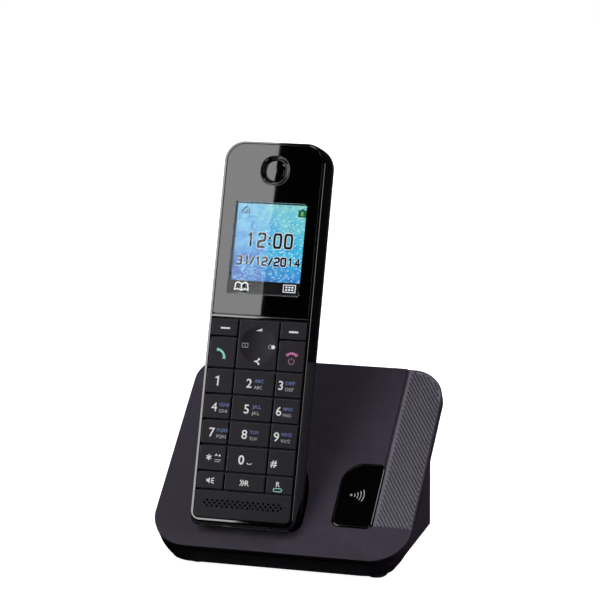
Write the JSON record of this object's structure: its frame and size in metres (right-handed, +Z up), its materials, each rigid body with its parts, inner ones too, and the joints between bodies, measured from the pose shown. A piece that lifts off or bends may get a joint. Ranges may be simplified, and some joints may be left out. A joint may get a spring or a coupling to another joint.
{
  "type": "cordless phone with base",
  "caption": "Slim black cordless telephone handset with keypad and colour display, standing at a slant in a sloping wedge-shaped charging base with a locator button.",
  "frame": {"origin": "middle of the whole object's outline, on the surface that the feet stand on", "axes": "+Z up, the front of the base and the keypad face -Y, +X to the viewer's right"},
  "size_m": [0.1026, 0.0726, 0.1567],
  "materials": {
    "plate_plastic": "fine spark-eroded satin, dark charcoal with a violet cast",
    "case_plastic": "satin near-black",
    "foot_rubber": "matte",
    "plated_steel": "zinc plated",
    "contact_metal": "nickel plated",
    "circuit_board": "solder mask",
    "jack_plastic": "moulded",
    "gloss_button": "polished piano black",
    "handset_gloss": "polished black",
    "window_clear": "clear acrylic, polished",
    "display_panel": "lit colour picture",
    "key_plastic": "satin tile",
    "key_rubber": "silicone rubber",
    "battery_sleeve": "printed shrink sleeve"
  },
  "bodies": {
    "base": {"base_top_cover": "plate_plastic", "base_bottom_case": "case_plastic", "foot_front_left": "foot_rubber", "foot_front_right": "foot_rubber", "foot_rear_left": "foot_rubber", "foot_rear_right": "foot_rubber", "base_screw_left": "plated_steel", "base_screw_right": "plated_steel", "base_circuit_board": "circuit_board", "base_charge_contact_left": "contact_metal", "base_charge_contact_right": "contact_metal", "dc_jack": "jack_plastic", "line_jack": "jack_plastic", "locator_board": "circuit_board", "locator_switch": "plated_steel"},
    "handset": {"handset_front_case": "handset_gloss", "handset_rear_case": "handset_gloss", "display_window": "window_clear", "display_module": "display_panel", "earpiece_grille": "handset_gloss", "receiver_speaker": "plated_steel", "handset_circuit_board": "circuit_board", "key_dome_sheet": "plated_steel", "keypad_membrane": "key_rubber", "lower_grille": "key_plastic", "microphone": "plated_steel", "ringer_loudspeaker": "plated_steel", "battery_1": "battery_sleeve", "battery_2": "battery_sleeve", "battery_contact_upper": "contact_metal", "battery_contact_lower": "contact_metal", "handset_charge_contact_left": "contact_metal", "handset_charge_contact_right": "contact_metal"},
    "locator_button": {"locator_button": "gloss_button"},
    "battery_door": {"battery_door": "handset_gloss"},
    "nav_rocker": {"nav_actuator": "key_rubber"},
    "nav_key": {"nav_key": "key_plastic"},
    "key_soft_left": {"key_soft_left": "key_plastic"},
    "key_soft_right": {"key_soft_right": "key_plastic"},
    "key_talk": {"key_talk": "key_plastic"},
    "key_end": {"key_end": "key_plastic"},
    "key_1": {"key_1": "key_plastic"},
    "key_2": {"key_2": "key_plastic"},
    "key_3": {"key_3": "key_plastic"},
    "key_4": {"key_4": "key_plastic"},
    "key_5": {"key_5": "key_plastic"},
    "key_6": {"key_6": "key_plastic"},
    "key_7": {"key_7": "key_plastic"},
    "key_8": {"key_8": "key_plastic"},
    "key_9": {"key_9": "key_plastic"},
    "key_star": {"key_star": "key_plastic"},
    "key_0": {"key_0": "key_plastic"},
    "key_hash": {"key_hash": "key_plastic"},
    "key_speaker": {"key_speaker": "key_plastic"},
    "key_redial": {"key_redial": "key_plastic"},
    "key_recall": {"key_recall": "key_plastic"}
  },
  "joints": [
    {"name": "handset_lift", "type": "slide", "parent": "base", "child": "handset", "axis": [0, 0.3492, 0.937], "range_m": [0, 0.07]},
    {"name": "locator_press", "type": "slide", "parent": "base", "child": "locator_button", "axis": [0, 0.6267, -0.7792], "range_m": [0, 0.0008], "stiffness_N_per_m": 500},
    {"name": "battery_door_off", "type": "slide", "parent": "handset", "child": "battery_door", "axis": [0, 0.937, -0.3492], "range_m": [0, 0.003]},
    {"name": "key_soft_left_press", "type": "slide", "parent": "handset", "child": "key_soft_left", "axis": [0, 0.937, -0.3492], "range_m": [0, 0.0006], "stiffness_N_per_m": 400},
    {"name": "key_soft_right_press", "type": "slide", "parent": "handset", "child": "key_soft_right", "axis": [0, 0.937, -0.3492], "range_m": [0, 0.0006], "stiffness_N_per_m": 400},
    {"name": "key_talk_press", "type": "slide", "parent": "handset", "child": "key_talk", "axis": [0, 0.937, -0.3492], "range_m": [0, 0.0006], "stiffness_N_per_m": 400},
    {"name": "key_end_press", "type": "slide", "parent": "handset", "child": "key_end", "axis": [0, 0.937, -0.3492], "range_m": [0, 0.0006], "stiffness_N_per_m": 400},
    {"name": "key_1_press", "type": "slide", "parent": "handset", "child": "key_1", "axis": [0, 0.937, -0.3492], "range_m": [0, 0.0006], "stiffness_N_per_m": 400},
    {"name": "key_2_press", "type": "slide", "parent": "handset", "child": "key_2", "axis": [0, 0.937, -0.3492], "range_m": [0, 0.0006], "stiffness_N_per_m": 400},
    {"name": "key_3_press", "type": "slide", "parent": "handset", "child": "key_3", "axis": [0, 0.937, -0.3492], "range_m": [0, 0.0006], "stiffness_N_per_m": 400},
    {"name": "key_4_press", "type": "slide", "parent": "handset", "child": "key_4", "axis": [0, 0.937, -0.3492], "range_m": [0, 0.0006], "stiffness_N_per_m": 400},
    {"name": "key_5_press", "type": "slide", "parent": "handset", "child": "key_5", "axis": [0, 0.937, -0.3492], "range_m": [0, 0.0006], "stiffness_N_per_m": 400},
    {"name": "key_6_press", "type": "slide", "parent": "handset", "child": "key_6", "axis": [0, 0.937, -0.3492], "range_m": [0, 0.0006], "stiffness_N_per_m": 400},
    {"name": "key_7_press", "type": "slide", "parent": "handset", "child": "key_7", "axis": [0, 0.937, -0.3492], "range_m": [0, 0.0006], "stiffness_N_per_m": 400},
    {"name": "key_8_press", "type": "slide", "parent": "handset", "child": "key_8", "axis": [0, 0.937, -0.3492], "range_m": [0, 0.0006], "stiffness_N_per_m": 400},
    {"name": "key_9_press", "type": "slide", "parent": "handset", "child": "key_9", "axis": [0, 0.937, -0.3492], "range_m": [0, 0.0006], "stiffness_N_per_m": 400},
    {"name": "key_star_press", "type": "slide", "parent": "handset", "child": "key_star", "axis": [0, 0.937, -0.3492], "range_m": [0, 0.0006], "stiffness_N_per_m": 400},
    {"name": "key_0_press", "type": "slide", "parent": "handset", "child": "key_0", "axis": [0, 0.937, -0.3492], "range_m": [0, 0.0006], "stiffness_N_per_m": 400},
    {"name": "key_hash_press", "type": "slide", "parent": "handset", "child": "key_hash", "axis": [0, 0.937, -0.3492], "range_m": [0, 0.0006], "stiffness_N_per_m": 400},
    {"name": "key_speaker_press", "type": "slide", "parent": "handset", "child": "key_speaker", "axis": [0, 0.937, -0.3492], "range_m": [0, 0.0006], "stiffness_N_per_m": 400},
    {"name": "key_redial_press", "type": "slide", "parent": "handset", "child": "key_redial", "axis": [0, 0.937, -0.3492], "range_m": [0, 0.0006], "stiffness_N_per_m": 400},
    {"name": "key_recall_press", "type": "slide", "parent": "handset", "child": "key_recall", "axis": [0, 0.937, -0.3492], "range_m": [0, 0.0006], "stiffness_N_per_m": 400},
    {"name": "nav_tilt_up_down", "type": "hinge", "parent": "handset", "child": "nav_rocker", "pos_m": [-0.01411, -0.00642, 0.08132], "axis": [1, 0, 0], "range_deg": [-2, 2], "stiffness_Nm_per_rad": 0.05},
    {"name": "nav_tilt_left_right", "type": "hinge", "parent": "nav_rocker", "child": "nav_key", "pos_m": [-0.01411, -0.00642, 0.08132], "axis": [0, 0.3492, 0.937], "range_deg": [-2, 2], "stiffness_Nm_per_rad": 0.05}
  ]
}
